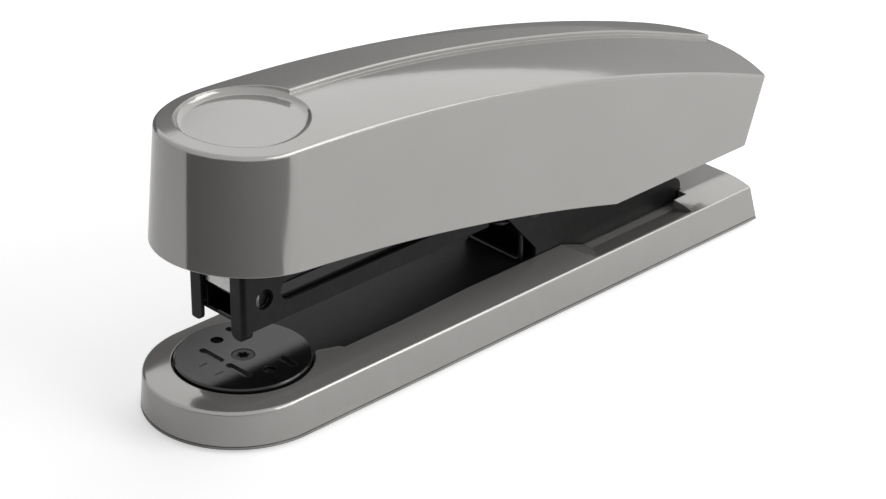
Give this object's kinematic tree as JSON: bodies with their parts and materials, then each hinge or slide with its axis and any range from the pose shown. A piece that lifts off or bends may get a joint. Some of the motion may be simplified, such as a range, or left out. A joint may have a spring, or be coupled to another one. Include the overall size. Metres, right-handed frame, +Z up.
{
  "type": "stapler",
  "caption": "Desk stapler with a long rounded base, turnable anvil, sprung staple magazine and a hinged curved press cover with a thumb dish.",
  "frame": {"origin": "Middle of the whole footprint, on the table plane under the base.", "axes": "+Z up from the table; Y runs along the stapler from its stapling end (-Y) to its hinge end (+Y); X runs across it."},
  "size_m": [0.0398, 0.1601, 0.0626],
  "materials": {
    "grey_shell": "warm mid grey, glossy moulded ABS",
    "sole_rubber": "grey non-slip rubber",
    "dark_steel": "dark grey satin coated sheet steel",
    "black_steel": "black semi-gloss coated steel",
    "blackened_steel": "blackened steel",
    "bright_steel": "bright zinc-plated steel",
    "spring_wire": "drawn spring wire",
    "white_nylon": "natural nylon",
    "black_plastic": "black moulded plastic"
  },
  "bodies": {
    "base": {"base_shell": "grey_shell", "sole_pad": "sole_rubber", "base_plate": "dark_steel", "bracket": "dark_steel", "bracket_rivets": "blackened_steel", "hinge_pin": "blackened_steel", "hinge_clips": "bright_steel", "hinge_spacers": "white_nylon", "stop_pin": "blackened_steel", "spring_studs": "blackened_steel", "lift_spring": "blackened_steel", "anvil_screw": "blackened_steel", "anvil_nut": "blackened_steel"},
    "anvil": {"anvil_plate": "black_steel"},
    "magazine": {"magazine_housing": "dark_steel", "staple_channel": "black_steel", "staple_rail": "black_steel", "rod_holder": "blackened_steel", "magazine_rivets": "blackened_steel", "guide_rod": "bright_steel", "follower_spring": "spring_wire", "staples": "bright_steel", "cover_spring": "spring_wire"},
    "pusher": {"staple_pusher": "black_plastic"},
    "cover": {"cover_shell": "grey_shell", "cover_frame": "dark_steel", "driver_blade": "bright_steel", "driver_rivets": "bright_steel", "cover_screws": "bright_steel"}
  },
  "joints": [
    {"name": "magazine_tilt", "type": "hinge", "parent": "base", "child": "magazine", "pos_m": [0, 0.04859, 0.027], "axis": [1, 0, 0], "range_deg": [0, 4], "stiffness_Nm_per_rad": 0.35, "springref_deg": -34.38, "deforming": ["lift_spring"]},
    {"name": "cover_press", "type": "hinge", "parent": "magazine", "child": "cover", "pos_m": [0, 0.04859, 0.027], "axis": [1, 0, 0], "range_deg": [-34, 4.3], "stiffness_Nm_per_rad": 0.3, "springref_deg": -9.74, "deforming": ["cover_spring"]},
    {"name": "pusher_slide", "type": "slide", "parent": "magazine", "child": "pusher", "axis": [0, 1, 0], "range_m": [0, 0.035], "stiffness_N_per_m": 30, "springref_m": -0.02, "deforming": ["follower_spring"]},
    {"name": "anvil_turn", "type": "hinge", "parent": "base", "child": "anvil", "pos_m": [0, -0.05962, 0.009], "axis": [0, 0, 1], "range_deg": [0, 180]}
  ]
}
